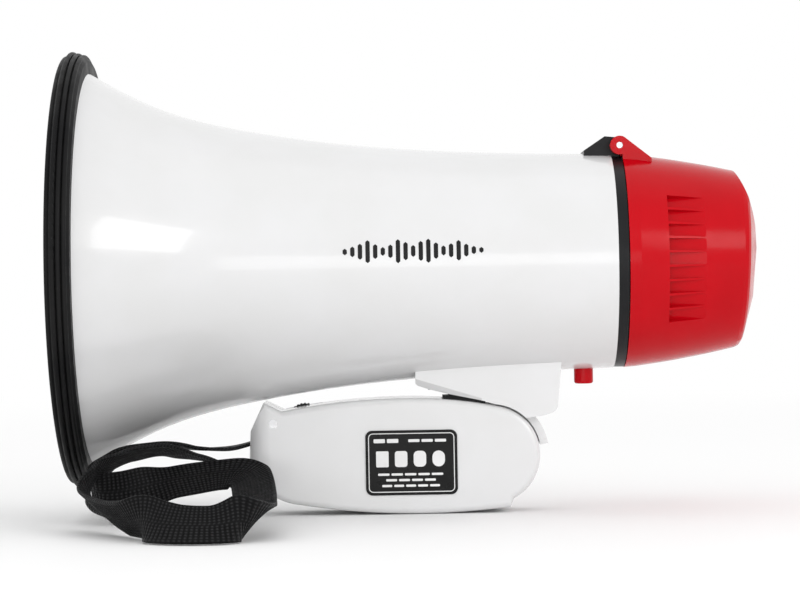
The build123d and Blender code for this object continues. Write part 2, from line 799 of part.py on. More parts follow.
def trigger():
    """Trigger bar with a small step at its front and a finger for the switch."""
    bar = slab(outline([
        (131.9, -46.9), (133.9, -46.9), (133.9, -45.3), (134.9, -45.0), (145.8, -46.0), (147.0, -47.0),
        (147.0, -56.0), (131.9, -56.0),
    ]), -TRIGGER_HALF, TRIGGER_HALF)
    bar -= block(133.6, 145.3, -TRIGGER_HALF + 1.6, TRIGGER_HALF - 1.6, -60, -49.0)
    bar += post(142, 0, 1.4, -55.0, -48.5)
    bar += block(134.5, 136.5, -2.0, 2.0, -56.0, -48.5)
    return bar


def trigger_spring():
    """Coil spring under the trigger."""
    return coil(142, 0, -62.0, -49.0, 2.1, 0.3, 7)


def trigger_switch():
    """Small switch with its plunger under the finger of the trigger."""
    body = block(126, 138.8, -3.4, 3.0, -66.5, -60.6)
    return body + block(135, 136, -1.0, 1.0, -60.6, -59.5)


def grip_board():
    """Circuit board of the grip."""
    board = block(91, 118, 6.0, 7.6, -76, -60)
    return board


def volume_pot():
    """Body and shaft of the volume control."""
    body = block(WHEEL_CENTER[0] - 4.5, WHEEL_CENTER[0] + 4.5, 4.4, 8.0, -62, -53.3)
    return body + cross_rod(WHEEL_CENTER[0], WHEEL_CENTER[1], 1.5, 8.0, 12.2)


def volume_wheel():
    """Knurled thumb wheel."""
    wheel = cross_rod(WHEEL_CENTER[0], WHEEL_CENTER[1], WHEEL_RADIUS, 8.5, 12.0)
    for index in range(30):
        x, z = at_angle(WHEEL_CENTER, WHEEL_RADIUS + 0.15, index * 12)
        wheel -= cross_rod(x, z, 0.45, 8, 13)
    return wheel - cross_rod(WHEEL_CENTER[0], WHEEL_CENTER[1], 1.56, 8, 13)


def mode_switch():
    """Body of the slide switch on the board."""
    return block(93.5, 103.1, 7.6, 11.6, -68.0, -64.0)


def mode_knob():
    """Ribbed knob of the slide switch."""
    knob = block(93.4, 99.0, 12.0, 16.2, -67.8, -64.2)
    for index in range(3):
        x = 95.0 + index * 1.2
        knob -= block(x - 0.3, x + 0.3, 15.7, 17, -70, -60)
    return knob


def strap_pin():
    """Cross pin that holds both ends of the strap."""
    return cross_rod(STRAP_PIN[0], STRAP_PIN[1], STRAP_PIN_RADIUS, -13.6, 13.6)


def label_plate():
    """Thin label on the left side of the grip."""
    face = Pos(120.45, -69.9) * RectangleRounded(32.3, 22.8, 2.4)
    return slab(Plane.XZ * face, -GRIP_HALF - 0.35, -GRIP_HALF)


# ---------------------------------------------------------------- wrist strap

def strap_points():
    """Corner points of the strap, from the pin out through the slot, round and back."""
    return [
        (69.5, 0.0, -60.5), (62.5, -0.2, -63.8), (49.0, -5.6, -65.1), (33.0, -15.0, -61.4),
        (18.0, -27.0, -65.5), (8.5, -38.0, -74.0), (16.0, -46.5, -78.0), (36.0, -41.0, -74.0),
        (55.0, -36.0, -71.5), (65.0, -42.0, -71.0), (67.5, -62.0, -75.0), (69.5, -90.0, -80.5),
        (71.0, -117.0, -82.5), (55.0, -122.0, -82.5), (38.0, -117.0, -82.5), (27.0, -96.0, -82.5),
        (12.5, -70.0, -78.5), (12.0, -55.0, -70.0), (21.0, -44.0, -65.0), (33.0, -30.0, -63.0),
        (46.0, -14.0, -67.5), (57.0, -1.5, -70.6), (66.0, 0.0, -69.0), (74.2, 0.0, -61.2),
    ]


def strap_bends(points):
    """Radius of the bend at each inner point, from the runs that meet there."""
    radii = []
    for before, here, after in zip(points, points[1:], points[2:]):
        a = Vector(*here) - Vector(*before)
        b = Vector(*after) - Vector(*here)
        turn = math.radians(a.get_angle(b))
        radii.append(0.45 * min(a.length, b.length) / math.tan(turn / 2))
    return radii


def wrist_strap():
    """Cord along straight runs joined by round bends."""
    points = strap_points()
    radii = strap_bends(points)
    print("strap bend radii", [round(radius, 1) for radius in radii])
    path = FilletPolyline(*points, radius=radii)
    print("strap length", round(path.length, 1))
    section = Plane(path @ 0, z_dir=path % 0) * Circle(STRAP_RADIUS)
    strap = sweep(section, path=path)
    print("strap volume", round(strap.volume, 1), "section by length", round(section.area * path.length, 1))
    return strap


# ---------------------------------------------------------------- all parts

def build_parts():
    """Every part by the name of its node."""
    parts = {}
    core = horn_core()
    shell = horn_shell()
    fixings = saddle_screws()
    throat = throat_horn(shell)
    flange = driver_flange()
    bolts = driver_screws()
    bezel_fixings = bezel_screws()
    cap_fixings = cap_screws()
    grip_fixings = grip_screws()
    body = grip_body()
    right = grip_half(body, 1, grip_fixings)
    for well in grip_screw_wells():
        right -= well

    parts["horn_shell"] = shell - fixings
    parts["rim_ring"] = rim_ring(shell)
    parts["throat_horn"] = throat - bolts
    parts["reflector_cup"] = reflector_cup(throat)
    parts["driver_flange"] = flange - bolts
    parts["phase_plug"] = phase_plug(flange)
    parts["diaphragm"] = diaphragm()
    parts["voice_coil"] = tube(104.5, 111.5, 15.4, 14.6)
    parts["driver_spacer"] = tube(104.5, 106, MAGNET_RADIUS, 22)
    parts["top_plate"] = tube(106, 110, MAGNET_RADIUS, 15.8)
    parts["magnet_ring"] = tube(110, 122, MAGNET_RADIUS, 19)
    parts["yoke"] = yoke()
    parts["driver_screws"] = bolts
    parts["amp_board"] = amp_board()
    parts["capacitors"] = capacitors()
    parts["heat_sink"] = heat_sink()
    parts["board_standoffs"] = board_standoffs()
    parts["battery_tray"] = battery_tray() - bezel_fixings
    parts["tray_contacts"] = tray_contacts()
    for number, (y, z) in enumerate(cell_places(), start=1):
        parts["battery_cell_" + str(number)] = battery_cell(y, z)
    parts["rear_bezel"] = rear_bezel(core) - bezel_fixings
    parts["bezel_screws"] = bezel_fixings
    parts["hinge_pin"] = hinge_pin()
    parts["rear_cap"] = rear_cap() - cap_fixings
    parts["contact_carrier"] = contact_carrier() - cap_fixings
    parts["cap_contacts"] = cap_contacts()
    parts["cap_screws"] = cap_fixings
    parts["mic_capsule"] = mic_capsule()
    parts["mic_boot"] = mic_boot()
    parts["mic_foam"] = mic_foam()
    parts["latch_button"] = latch_button()
    parts["latch_spring"] = latch_spring()
    parts["handle_saddle"] = handle_saddle(core, fixings)
    parts["saddle_screws"] = fixings
    parts["pivot_pin"] = pivot_pin()
    parts["grip_shell_left"] = grip_half(body, -1, grip_fixings)
    parts["grip_shell_right"] = right
    parts["grip_screws"] = grip_fixings
    parts["trigger"] = trigger()
    parts["trigger_spring"] = trigger_spring()
    parts["trigger_switch"] = trigger_switch()
    parts["grip_board"] = grip_board()
    parts["volume_pot"] = volume_pot()
    parts["volume_wheel"] = volume_wheel()
    parts["mode_switch"] = mode_switch()
    parts["mode_knob"] = mode_knob()
    parts["strap_pin"] = strap_pin()
    parts["label_plate"] = label_plate()
    parts["wrist_strap"] = wrist_strap()
    return parts


for name, part in build_parts().items():
    placed = PLACE * part
    export_step(placed, "parts/" + name + ".step")
    print(name, round(placed.volume, 1))
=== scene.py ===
import json
import math

import bmesh
import bpy
from mathutils import Matrix, Vector
from mathutils.bvhtree import BVHTree


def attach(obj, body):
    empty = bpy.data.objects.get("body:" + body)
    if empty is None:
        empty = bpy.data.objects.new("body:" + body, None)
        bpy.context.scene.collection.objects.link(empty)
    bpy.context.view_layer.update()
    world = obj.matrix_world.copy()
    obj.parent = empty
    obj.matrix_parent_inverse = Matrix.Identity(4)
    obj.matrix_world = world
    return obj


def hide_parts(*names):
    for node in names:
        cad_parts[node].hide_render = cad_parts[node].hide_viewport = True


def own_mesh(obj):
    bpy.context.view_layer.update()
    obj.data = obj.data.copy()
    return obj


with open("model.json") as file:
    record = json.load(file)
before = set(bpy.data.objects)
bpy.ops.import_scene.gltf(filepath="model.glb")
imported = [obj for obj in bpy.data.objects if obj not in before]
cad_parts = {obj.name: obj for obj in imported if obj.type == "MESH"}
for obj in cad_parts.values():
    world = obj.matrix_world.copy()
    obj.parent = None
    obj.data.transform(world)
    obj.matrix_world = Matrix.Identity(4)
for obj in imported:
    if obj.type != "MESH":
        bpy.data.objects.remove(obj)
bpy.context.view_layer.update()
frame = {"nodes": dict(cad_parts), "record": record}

MM = 0.001

# Places are given as on the drawing: x back from the front of the rim, z from the horn's axis.
LENGTH = 244.3
AXIS_Z = 88.0


def place(x, y, z):
    """Drawing place in millimetres to the frame in metres."""
    return Vector(((x - LENGTH / 2) * MM, y * MM, (z + AXIS_Z) * MM))


def new_object(name, mesh):
    """Links a mesh to the scene as an object."""
    obj = bpy.data.objects.new(name, mesh)
    bpy.context.scene.collection.objects.link(obj)
    return obj


def finished_mesh(name, mesh):
    """Mesh data from a bmesh, with its faces turned outwards."""
    bmesh.ops.recalc_face_normals(mesh, faces=mesh.faces)
    data = bpy.data.meshes.new(name)
    mesh.to_mesh(data)
    mesh.free()
    return data


# ---------------------------------------------------------------- camera, floor and light

LENS_MM = 123.5
SENSOR_MM = 36.0
CAMERA_PLACE = (-0.0048, -0.980, 0.0753)
CAMERA_ROLL = -0.98
VIEW_END = 50.0

FLOOR_HALF = 2.5
FLOOR_DROP = 0.0002
FADE_START = 0.35
FADE_END = 1.3
WHITE = (1.0, 1.0, 1.0, 1.0)
FLOOR_GREY = (0.93, 0.93, 0.93, 1.0)

# Name, place, aim, width, height and power of each light.
LIGHTS = [
    ("softbox_right", (0.68, -0.92, 0.50), (-0.09, -0.05, 0.10), 0.52, 0.38, 2.6),
    ("overhead", (0.0, -0.1, 1.5), (0, 0, 0.1), 1.2, 0.8, 0.5),
    ("left_fill", (-1.2, -0.7, 0.5), (0, 0, 0.1), 0.7, 0.7, 0.8),
    ("low_fill", (-0.1, -1.5, 0.16), (-0.05, 0, 0.04), 1.2, 0.3, 2.2),
]


def make_camera():
    """Long lens at about the middle height of the part, looking along +Y with a slight roll."""
    data = bpy.data.cameras.new("camera")
    data.lens = LENS_MM
    data.sensor_width = SENSOR_MM
    data.clip_end = VIEW_END
    camera = bpy.data.objects.new("camera", data)
    bpy.context.scene.collection.objects.link(camera)
    upright = Matrix.Rotation(math.radians(90), 4, "X")
    roll = Matrix.Rotation(math.radians(CAMERA_ROLL), 4, "Z")
    camera.matrix_world = Matrix.Translation(CAMERA_PLACE) @ (upright @ roll)
    bpy.context.scene.camera = camera


def area_light(name, position, target, size_x, size_y, power):
    """Soft rectangular light aimed at a point."""
    data = bpy.data.lights.new(name, "AREA")
    data.shape = "RECTANGLE"
    data.size = size_x
    data.size_y = size_y
    data.energy = power
    light = bpy.data.objects.new(name, data)
    bpy.context.scene.collection.objects.link(light)
    light.location = position
    aim = Vector(target) - Vector(position)
    light.rotation_euler = aim.to_track_quat("-Z", "Y").to_euler()


def make_surround():
    """Even white light from all round."""
    world = bpy.data.worlds.new("surround")
    bpy.context.scene.world = world
    world.use_nodes = True
    background = world.node_tree.nodes["Background"]
    background.inputs["Color"].default_value = WHITE
    background.inputs["Strength"].default_value = 1.0


def floor_material():
    """Pale matte floor that fades to plain white away from the part."""
    mat = bpy.data.materials.new("floor")
    mat.use_nodes = True
    nodes = mat.node_tree.nodes
    links = mat.node_tree.links
    shader = nodes["Principled BSDF"]
    shader.inputs["Base Color"].default_value = FLOOR_GREY
    shader.inputs["Roughness"].default_value = 0.7
    coords = nodes.new("ShaderNodeTexCoord")
    distance = nodes.new("ShaderNodeVectorMath")
    distance.operation = "LENGTH"
    fade = nodes.new("ShaderNodeMapRange")
    fade.interpolation_type = "SMOOTHSTEP"
    fade.inputs["From Min"].default_value = FADE_START
    fade.inputs["From Max"].default_value = FADE_END
    glow = nodes.new("ShaderNodeEmission")
    glow.inputs["Color"].default_value = WHITE
    glow.inputs["Strength"].default_value = 1.0
    mix = nodes.new("ShaderNodeMixShader")
    links.new(coords.outputs["Object"], distance.inputs[0])
    links.new(distance.outputs["Value"], fade.inputs["Value"])
    links.new(fade.outputs["Result"], mix.inputs["Fac"])
    links.new(shader.outputs["BSDF"], mix.inputs[1])
    links.new(glow.outputs["Emission"], mix.inputs[2])
    links.new(mix.outputs["Shader"], nodes["Material Output"].inputs["Surface"])
    return mat


def make_floor():
    """Square floor just under the part."""
    mesh = bpy.data.meshes.new("floor")
    half = FLOOR_HALF
    corners = [(-half, -half, 0), (half, -half, 0), (half, half, 0), (-half, half, 0)]
    mesh.from_pydata(corners, [], [(0, 1, 2, 3)])
    floor = new_object("floor", mesh)
    floor.location = (0, 0, -FLOOR_DROP)
    mesh.materials.append(floor_material())


def make_studio():
    """Surround, floor and soft lights."""
    make_surround()
    make_floor()
    for light in LIGHTS:
        area_light(*light)


# ---------------------------------------------------------------- materials

# Depth in metres of a bump of full strength.
RELIEF_DEPTH = 0.0002
WEAVE_DEPTH = 0.0003

# The wave texture at scale 1 passes one band, light or dark, in this many units.
WAVE_BAND = 3.1416 / 20.0

# Moulded parts: colour, worn colour, roughness, grains to the metre, relief, coat, specular level.
MOULDED = {
    "white_gloss": ((0.70, 0.70, 0.705), (0.68, 0.68, 0.68), (0.16, 0.26), 900.0, 0.03, 0.5, 0.5),
    "white_matte": ((0.66, 0.66, 0.66), (0.62, 0.62, 0.615), (0.40, 0.55), 1400.0, 0.12, 0.0, 0.5),
    "black_rubber": (
        (0.005, 0.005, 0.0055), (0.009, 0.009, 0.009), (0.40, 0.58), 1800.0, 0.25, 0.0, 0.12,
    ),
    "black_plastic": (
        (0.006, 0.006, 0.007), (0.010, 0.010, 0.011), (0.28, 0.42), 1600.0, 0.12, 0.0, 0.2,
    ),
    "red_plastic": (
        (0.50, 0.0005, 0.006), (0.455, 0.0004, 0.005), (0.14, 0.22), 1200.0, 0.02, 0.0, 0.14,
    ),
    "ferrite": (
        (0.045, 0.045, 0.048), (0.075, 0.075, 0.078), (0.45, 0.65), 2200.0, 0.3, 0.0, 0.5,
    ),
    "foam": ((0.012, 0.012, 0.012), (0.030, 0.030, 0.030), (0.8, 0.95), 700.0, 1.0, 0.0, 0.5),
    "label_black": (
        (0.006, 0.006, 0.006), (0.009, 0.009, 0.009), (0.25, 0.36), 1500.0, 0.03, 0.0, 0.15,
    ),
    "print_white": ((0.80, 0.80, 0.80), (0.72, 0.72, 0.72), (0.35, 0.5), 1500.0, 0.05, 0.0, 0.5),
    "print_black": (
        (0.008, 0.008, 0.009), (0.013, 0.013, 0.013), (0.3, 0.42), 1500.0, 0.05, 0.0, 0.15,
    ),
}

# Metals: colour, dull colour, roughness, grains to the metre, stretch of the grain, relief.
METALS = {
    "steel": ((0.66, 0.66, 0.66), (0.48, 0.48, 0.49), (0.22, 0.38), 260.0, (1.0, 0.2, 1.0), 0.15),
    "die_cast": (
        (0.62, 0.62, 0.63), (0.50, 0.50, 0.51), (0.35, 0.55), 1300.0, (1.0, 1.0, 1.0), 0.3,
    ),
}

# Banded parts: axis, width of a band in mm, colour, groove colour, roughness, metallic, relief. The
# groove colour of the film and the copper is painted shade in the grooves between the turns; on the
# can sleeve it is a printed pale stripe.
BANDED = {
    "film": ("X", 1.2, (0.42, 0.27, 0.10), (0.30, 0.18, 0.06), (0.2, 0.35), 0.0, 0.5),
    "copper": ("X", 0.5, (0.72, 0.33, 0.16), (0.35, 0.14, 0.06), (0.22, 0.36), 1.0, 0.5),
    "can_sleeve": ("Z", 6.0, (0.015, 0.020, 0.09), (0.30, 0.32, 0.36), (0.25, 0.4), 0.0, 0.0),
}

CELL_FRONT = 155.0
CELL_BACK = 205.0
CELL_STEEL = (0.60, 0.60, 0.62)
CELL_BLUE = (0.02, 0.06, 0.20)
CELL_BLUE_LATE = (0.02, 0.07, 0.24)
CELL_GOLD = (0.75, 0.55, 0.16)
SMOOTH_ANGLE = 28


def start_material(name):
    """New material with its nodes, links and shader."""
    mat = bpy.data.materials.new(name)
    mat.use_nodes = True
    nodes = mat.node_tree.nodes
    return mat, nodes, mat.node_tree.links, nodes["Principled BSDF"]


def noise(nodes, links, scale, detail=4.0, stretch=(1.0, 1.0, 1.0)):
    """Noise over the object's own coordinates. The scale counts features to the metre."""
    coords = nodes.new("ShaderNodeTexCoord")
    mapping = nodes.new("ShaderNodeMapping")
    mapping.inputs["Scale"].default_value = stretch
    texture = nodes.new("ShaderNodeTexNoise")
    texture.inputs["Scale"].default_value = scale
    texture.inputs["Detail"].default_value = detail
    links.new(coords.outputs["Object"], mapping.inputs["Vector"])
    links.new(mapping.outputs["Vector"], texture.inputs["Vector"])
    return texture.outputs["Fac"]


def ramp(nodes, links, source, stops):
    """Colour ramp from a value. Each stop is a place and a colour."""
    node = nodes.new("ShaderNodeValToRGB")
    points = node.color_ramp.elements
    for index, (position, colour) in enumerate(stops):
        point = points[index] if index < 2 else points.new(position)
        point.position = position
        point.color = (*colour, 1.0)
    links.new(source, node.inputs["Fac"])
    return node.outputs["Color"]


def spread(nodes, links, source, low, high):
    """Value stretched from 0.3..0.7 to low..high."""
    node = nodes.new("ShaderNodeMapRange")
    node.inputs["From Min"].default_value = 0.3
    node.inputs["From Max"].default_value = 0.7
    node.inputs["To Min"].default_value = low
    node.inputs["To Max"].default_value = high
    links.new(source, node.inputs["Value"])
    return node.outputs["Result"]


def bump(nodes, links, shader, source, strength, distance):
    """Surface relief from a value."""
    node = nodes.new("ShaderNodeBump")
    node.inputs["Strength"].default_value = strength
    node.inputs["Distance"].default_value = distance
    links.new(source, node.inputs["Height"])
    links.new(node.outputs["Normal"], shader.inputs["Normal"])


def moulded(name, colour, worn, rough, grain, relief, coat, specular):
    """Moulded plastic or rubber: slight colour drift, uneven gloss and a fine grain."""
    mat, nodes, links, shader = start_material(name)
    drift = noise(nodes, links, 38.0, 5.0)
    links.new(ramp(nodes, links, drift, [(0.35, worn), (0.62, colour)]), shader.inputs["Base Color"])
    gloss = noise(nodes, links, 160.0, 6.0)
    links.new(spread(nodes, links, gloss, *rough), shader.inputs["Roughness"])
    bump(nodes, links, shader, noise(nodes, links, grain, 3.0), relief, RELIEF_DEPTH)
    shader.inputs["Coat Weight"].default_value = coat
    shader.inputs["Coat Roughness"].default_value = 0.06
    shader.inputs["Specular IOR Level"].default_value = specular
    return mat


def metal(name, colour, dull, rough, grain, stretch, relief):
    """Metal with a direction of brushing or a cast grain."""
    mat, nodes, links, shader = start_material(name)
    streaks = noise(nodes, links, grain, 5.0, stretch)
    links.new(ramp(nodes, links, streaks, [(0.3, dull), (0.65, colour)]), shader.inputs["Base Color"])
    links.new(spread(nodes, links, streaks, *rough), shader.inputs["Roughness"])
    shader.inputs["Metallic"].default_value = 1.0
    bump(nodes, links, shader, streaks, relief, RELIEF_DEPTH)
    return mat


def banded(name, axis, band, colour, groove_shade_and_stripe, rough, metallic, relief):
    """Even bands along one axis, as on a winding or a ribbed sleeve. The colour follows the height of
    the bands, so the groove colour lies in the low parts: painted shade on the windings, a printed
    stripe on the sleeve.
    """
    mat, nodes, links, shader = start_material(name)
    coords = nodes.new("ShaderNodeTexCoord")
    wave = nodes.new("ShaderNodeTexWave")
    wave.bands_direction = axis
    wave.inputs["Scale"].default_value = WAVE_BAND / (band * MM)
    wave.inputs["Distortion"].default_value = 0.6
    wave.inputs["Detail Scale"].default_value = 3.0
    links.new(coords.outputs["Object"], wave.inputs["Vector"])
    height = wave.outputs["Fac"]
    # Painted shade: the colour goes to the groove colour where the bands are low, as between the turns
    # of a winding.
    links.new(ramp(nodes, links, height, [(0.2, groove_shade_and_stripe), (0.7, colour)]), shader.inputs["Base Color"])
    links.new(spread(nodes, links, noise(nodes, links, 300.0), *rough), shader.inputs["Roughness"])
    shader.inputs["Metallic"].default_value = metallic
    bump(nodes, links, shader, height, relief, RELIEF_DEPTH)
    return mat


def cell_material():
    """Printed jacket of a battery cell with steel ends."""
    mat, nodes, links, shader = start_material("cell_jacket")
    coords = nodes.new("ShaderNodeTexCoord")
    axes = nodes.new("ShaderNodeSeparateXYZ")
    links.new(coords.outputs["Object"], axes.inputs["Vector"])
    along = nodes.new("ShaderNodeMapRange")
    along.inputs["From Min"].default_value = (CELL_FRONT - LENGTH / 2) * MM
    along.inputs["From Max"].default_value = (CELL_BACK - LENGTH / 2) * MM
    links.new(axes.outputs["X"], along.inputs["Value"])
    stops = [
        (0.0, CELL_STEEL),
        (0.03, CELL_BLUE),
        (0.66, CELL_BLUE_LATE),
        (0.70, CELL_GOLD),
        (0.955, CELL_STEEL),
    ]
    links.new(ramp(nodes, links, along.outputs["Result"], stops), shader.inputs["Base Color"])
    links.new(spread(nodes, links, noise(nodes, links, 220.0), 0.22, 0.42), shader.inputs["Roughness"])
    shader.inputs["Metallic"].default_value = 0.6
    bump(nodes, links, shader, noise(nodes, links, 900.0), 0.05, RELIEF_DEPTH)
    return mat


def board_material():
    """Green circuit board with tracks and pads."""
    mat, nodes, links, shader = start_material("green_board")
    coords = nodes.new("ShaderNodeTexCoord")
    tracks = nodes.new("ShaderNodeTexVoronoi")
    tracks.distance = "MANHATTAN"
    tracks.feature = "F1"
    tracks.inputs["Scale"].default_value = 190.0
    links.new(coords.outputs["Object"], tracks.inputs["Vector"])
    stops = [
        (0.06, (0.62, 0.60, 0.55)),
        (0.09, (0.02, 0.16, 0.06)),
        (0.42, (0.03, 0.24, 0.09)),
        (0.46, (0.01, 0.12, 0.05)),
    ]
    links.new(ramp(nodes, links, tracks.outputs["Distance"], stops), shader.inputs["Base Color"])
    links.new(spread(nodes, links, noise(nodes, links, 260.0), 0.25, 0.45), shader.inputs["Roughness"])
    bump(nodes, links, shader, tracks.outputs["Distance"], 0.3, RELIEF_DEPTH)
    return mat


def math_node(nodes, operation):
    """Math node of one operation."""
    node = nodes.new("ShaderNodeMath")
    node.operation = operation
    return node


def weave_height(nodes, links):
    """Height of the weave: the ribs, with yarn bundles across them and single fibres."""
    ribs = nodes.new("ShaderNodeAttribute")
    ribs.attribute_name = "rib_height"
    across = nodes.new("ShaderNodeAttribute")
    across.attribute_name = "across_mm"
    turn = math_node(nodes, "MULTIPLY")
    turn.inputs[1].default_value = 2 * math.pi / YARN_PITCH
    wave = math_node(nodes, "SINE")
    bundles = nodes.new("ShaderNodeMapRange")
    bundles.inputs["From Min"].default_value = -1.0
    bundles.inputs["From Max"].default_value = 1.0
    bundles.inputs["To Min"].default_value = 0.45
    height = math_node(nodes, "MULTIPLY")
    rough = math_node(nodes, "MULTIPLY_ADD")
    rough.inputs[1].default_value = 0.35
    links.new(across.outputs["Fac"], turn.inputs[0])
    links.new(turn.outputs["Value"], wave.inputs[0])
    links.new(wave.outputs["Value"], bundles.inputs["Value"])
    links.new(ribs.outputs["Fac"], height.inputs[0])
    links.new(bundles.outputs["Result"], height.inputs[1])
    links.new(noise(nodes, links, 1400.0, 3.0), rough.inputs[0])
    links.new(height.outputs["Value"], rough.inputs[2])
    return rough.outputs["Value"]


def webbing_material():
    """Woven black polypropylene with a little sheen, its colour painted darker in the valleys of the
    weave as shade and lighter on the rib crests as highlight.
    """
    mat, nodes, links, shader = start_material("webbing")
    weave_height_and_shade = weave_height(nodes, links)
    # Painted shade and highlight: the colour follows the weave's height, near black in the valleys and
    # lighter on the crests of the ribs, with a little random fibre tone.
    stops = [
        (0.15, (0.0005, 0.0005, 0.0005)),
        (0.75, (0.005, 0.005, 0.0055)),
        (1.0, (0.022, 0.022, 0.023)),
    ]
    links.new(ramp(nodes, links, weave_height_and_shade, stops), shader.inputs["Base Color"])
    links.new(spread(nodes, links, noise(nodes, links, 500.0), 0.4, 0.65), shader.inputs["Roughness"])
    bump(nodes, links, shader, weave_height_and_shade, 0.6, WEAVE_DEPTH)
    shader.inputs["Specular IOR Level"].default_value = 0.1
    shader.inputs["Sheen Weight"].default_value = 0.01
    shader.inputs["Sheen Roughness"].default_value = 0.4
    return mat


def make_materials():
    """One material for each slot of the record, and the two printing inks."""
    made = {name: moulded(name, *values) for name, values in MOULDED.items()}
    for name, values in METALS.items():
        made[name] = metal(name, *values)
    for name, values in BANDED.items():
        made[name] = banded(name, *values)
    made["green_board"] = board_material()
    made["cell_jacket"] = cell_material()
    made["webbing"] = webbing_material()
    return made


def smooth_group():
    """Node group that shades faces smooth and keeps edges sharper than the limit."""
    group = bpy.data.node_groups.new("smooth_by_angle", "GeometryNodeTree")
    group.interface.new_socket("Geometry", in_out="INPUT", socket_type="NodeSocketGeometry")
    group.interface.new_socket("Geometry", in_out="OUTPUT", socket_type="NodeSocketGeometry")
    nodes = group.nodes
    links = group.links
    start = nodes.new("NodeGroupInput")
    end = nodes.new("NodeGroupOutput")
    faces = nodes.new("GeometryNodeSetShadeSmooth")
    faces.domain = "FACE"
    edges = nodes.new("GeometryNodeSetShadeSmooth")
    edges.domain = "EDGE"
    edges.inputs["Shade Smooth"].default_value = False
    angle = nodes.new("GeometryNodeInputMeshEdgeAngle")
    sharp = nodes.new("FunctionNodeCompare")
    sharp.data_type = "FLOAT"
    sharp.operation = "GREATER_THAN"
    sharp.inputs["B"].default_value = math.radians(SMOOTH_ANGLE)
    links.new(start.outputs[0], faces.inputs["Geometry"])
    links.new(faces.outputs["Geometry"], edges.inputs["Geometry"])
    links.new(angle.outputs["Unsigned Angle"], sharp.inputs["A"])
    links.new(sharp.outputs["Result"], edges.inputs["Selection"])
    links.new(edges.outputs["Geometry"], end.inputs[0])
    return group


def node_slots():
    """Material slot of each CAD node, as the record says."""
    return {row["node"]: row["material_slot"] for row in frame["record"]["subparts"]}


def finish_cad_nodes(materials):
    """Gives each CAD node its material and smooth shading."""
    slots = node_slots()
    group = smooth_group()
    for name, obj in frame["nodes"].items():
        for slot in obj.material_slots:
            slot.material = materials[slots[name]]
        modifier = obj.modifiers.new("smooth", "NODES")
        modifier.node_group = group


# ---------------------------------------------------------------- wrist strap

STRAP_WIDTH = 15.0
STRAP_THICK = 1.25
STRAP_HALF = STRAP_WIDTH / 2 - 0.1
STRAP_STEP = 0.3
RIB_PITCH = 1.5
RIB_RELIEF = 0.30
YARN_PITCH = 1.1
FLOOR_CLEARANCE = 0.1

# Places across the webbing, as shares of its half width. The selvedge is the firm edge.
COLUMNS = [-1.0, -0.97, -0.90, -0.80, -0.6, -0.4, -0.2, 0.0, 0.2, 0.4, 0.6, 0.80, 0.90, 0.97, 1.0]
SELVEDGE_INNER = 0.80
SELVEDGE_OUTER = 0.99
SELVEDGE_DROP = 0.02

# The direction of the route is taken over this many points each way.
DIRECTION_SPAN = 3

# Route of the strap with the direction of its width at each point.
STRAP_ROUTE = [
    ((69.5, 0.0, -60.5), (0, 1, 0)),
    ((62.5, -0.2, -63.8), (0, 1, 0)),
    ((49.0, -5.6, -65.1), (0, 1, -0.1)),
    ((33.0, -15.0, -61.4), (0, 1, -0.12)),
    ((18.0, -27.0, -65.5), (0.1, 0.9, -0.3)),
    ((8.5, -38.0, -74.0), (0, 0.7, -0.6)),
    ((16.0, -46.5, -78.0), (0, 0.1, -0.95)),
    ((36.0, -41.0, -74.0), (0, -0.7, -0.6)),
    ((55.0, -36.0, -71.5), (0, -0.75, -0.6)),
    ((65.0, -42.0, -71.0), (-0.75, -0.4, -0.45)),
    ((67.5, -62.0, -75.0), (-0.97, 0, -0.15)),
    ((69.5, -90.0, -80.5), (-0.9, 0.0, -0.35)),
    ((71.0, -117.0, -82.5), (-0.5, -0.15, -0.65)),
    ((55.0, -122.0, -82.5), (0, -0.65, -0.7)),
    ((38.0, -117.0, -82.5), (0.1, -0.62, -0.68)),
    ((27.0, -96.0, -82.5), (0.5, -0.1, -0.55)),
    ((12.5, -70.0, -78.5), (0.6, 0.25, -0.6)),
    ((12.0, -55.0, -70.0), (-0.2, 0.65, -0.7)),
    ((21.0, -44.0, -65.0), (-0.45, 0.7, -0.5)),
    ((33.0, -30.0, -63.0), (-0.5, 0.75, -0.35)),
    ((46.0, -14.0, -67.5), (-0.5, 0.85, -0.1)),
    ((57.0, -1.5, -70.6), (0, 1, 0)),
    ((66.0, 0.0, -69.0), (0, 1, 0)),
    ((74.2, 0.0, -61.2), (0, 1, 0)),
]


def route_line(points):
    """Points read from the smooth curve that has the route's points as control points."""
    data = bpy.data.curves.new("strap_route", "CURVE")
    data.dimensions = "3D"
    data.resolution_u = 64
    spline = data.splines.new("NURBS")
    spline.points.add(len(points) - 1)
    for index, point in enumerate(points):
        spline.points[index].co = (*point, 1.0)
    spline.order_u = 3
    spline.use_endpoint_u = True
    curve = new_object("strap_route", data)
    mesh = bpy.data.meshes.new_from_object(curve)
    line = [vertex.co.copy() for vertex in mesh.vertices]
    bpy.data.objects.remove(curve)
    return line


def resample(line, step):
    """Evenly spaced points along a line, with the share of the route reached at each."""
    lengths = [0.0]
    for a, b in zip(line, line[1:]):
        lengths.append(lengths[-1] + (b - a).length)
    count = int(lengths[-1] / step)
    points = []
    index = 0
    for number in range(count + 1):
        goal = lengths[-1] * number / count
        while index < len(line) - 2 and lengths[index + 1] < goal:
            index += 1
        run = lengths[index + 1] - lengths[index]
        part = (goal - lengths[index]) / run if run else 0.0
        points.append((line[index].lerp(line[index + 1], part), (index + part) / (len(line) - 1)))
    return points, lengths[-1]


